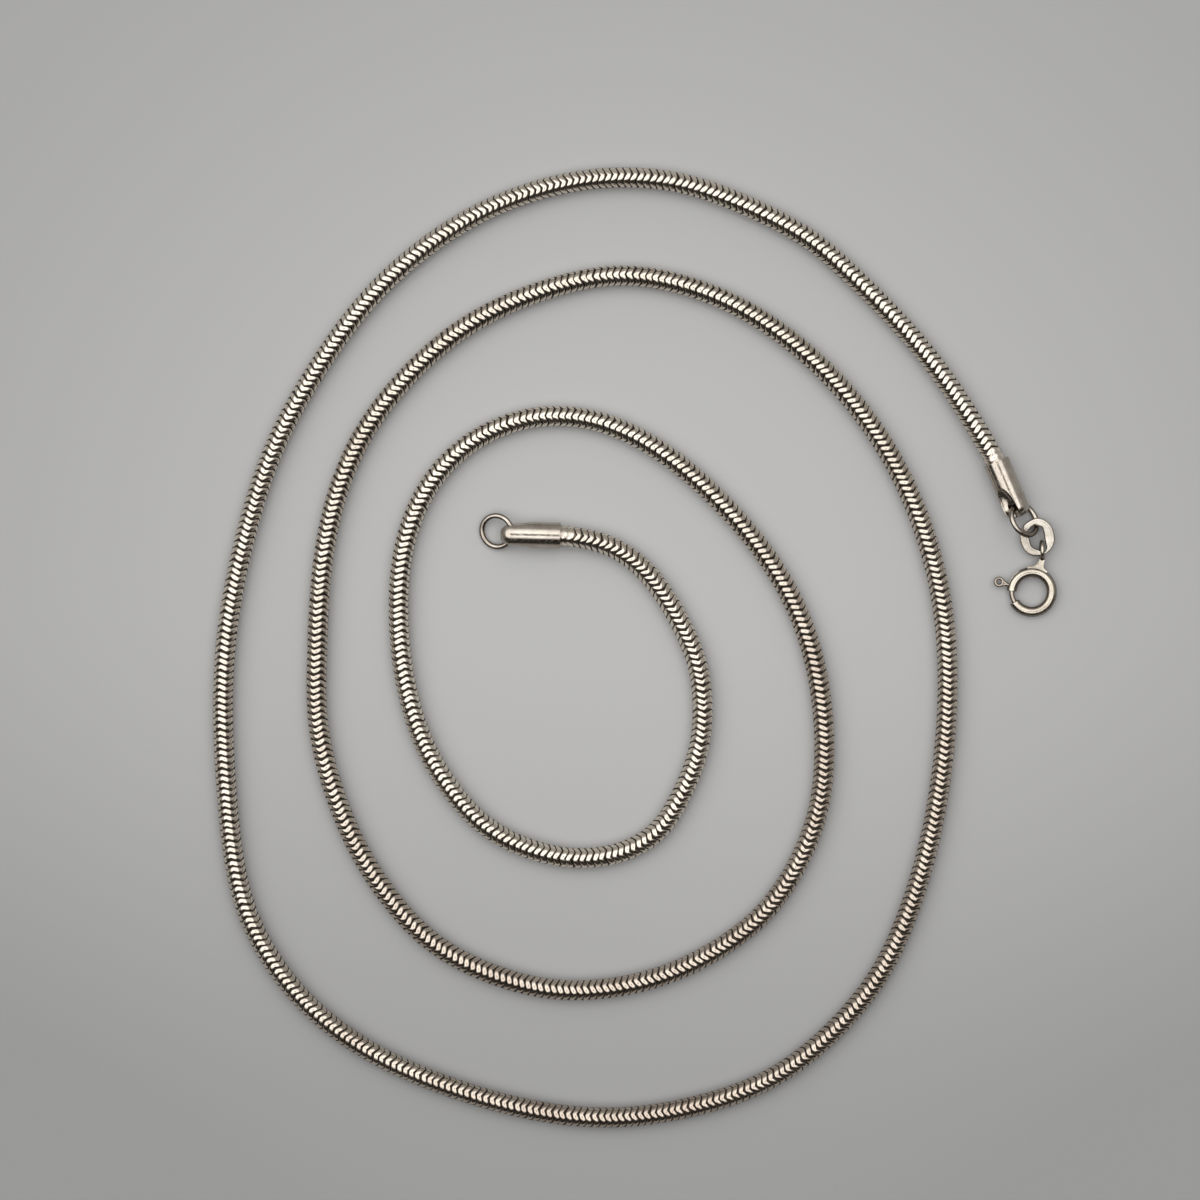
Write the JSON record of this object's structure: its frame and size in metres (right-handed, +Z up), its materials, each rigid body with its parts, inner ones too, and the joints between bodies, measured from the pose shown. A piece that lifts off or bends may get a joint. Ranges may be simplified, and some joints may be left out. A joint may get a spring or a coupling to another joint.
{
  "type": "snake chain necklace",
  "caption": "Round snake chain necklace laid in a flat spiral, with tube end caps, a catch ring, a jump ring, a flat oval link and a spring ring clasp.",
  "frame": {"origin": "on the surface the necklace lies on, under the middle of its bounding box", "axes": "+Z up from the surface, +Y along the spiral's long direction, the top of the picture, +X to the right of it, towards the clasp"},
  "size_m": [0.1025, 0.1164, 0.0034],
  "materials": {
    "chain": "soft polish, tarnished between the links",
    "cap": "polished, lightly scratched",
    "ring": "polished wire",
    "flat_link": "polished, lightly scratched",
    "clasp": "polished, worn",
    "bolt": "polished wire"
  },
  "bodies": {
    "necklace": {"chain_outer": "chain", "chain_inner": "chain", "clasp_end_cap": "cap", "ring_end_cap": "cap", "catch_ring": "ring", "link_ring": "ring", "flat_link": "flat_link", "clasp_ring": "clasp"},
    "bolt": {"clasp_bolt": "bolt"}
  },
  "joints": [
    {"name": "bolt_slide", "type": "hinge", "parent": "necklace", "child": "bolt", "pos_m": [0.04829, 0.00676, 0.00082], "axis": [0.0186, 0.0793, -0.9967], "range_deg": [0, 37], "stiffness_Nm_per_rad": 0.006, "springref_deg": -11.46}
  ]
}
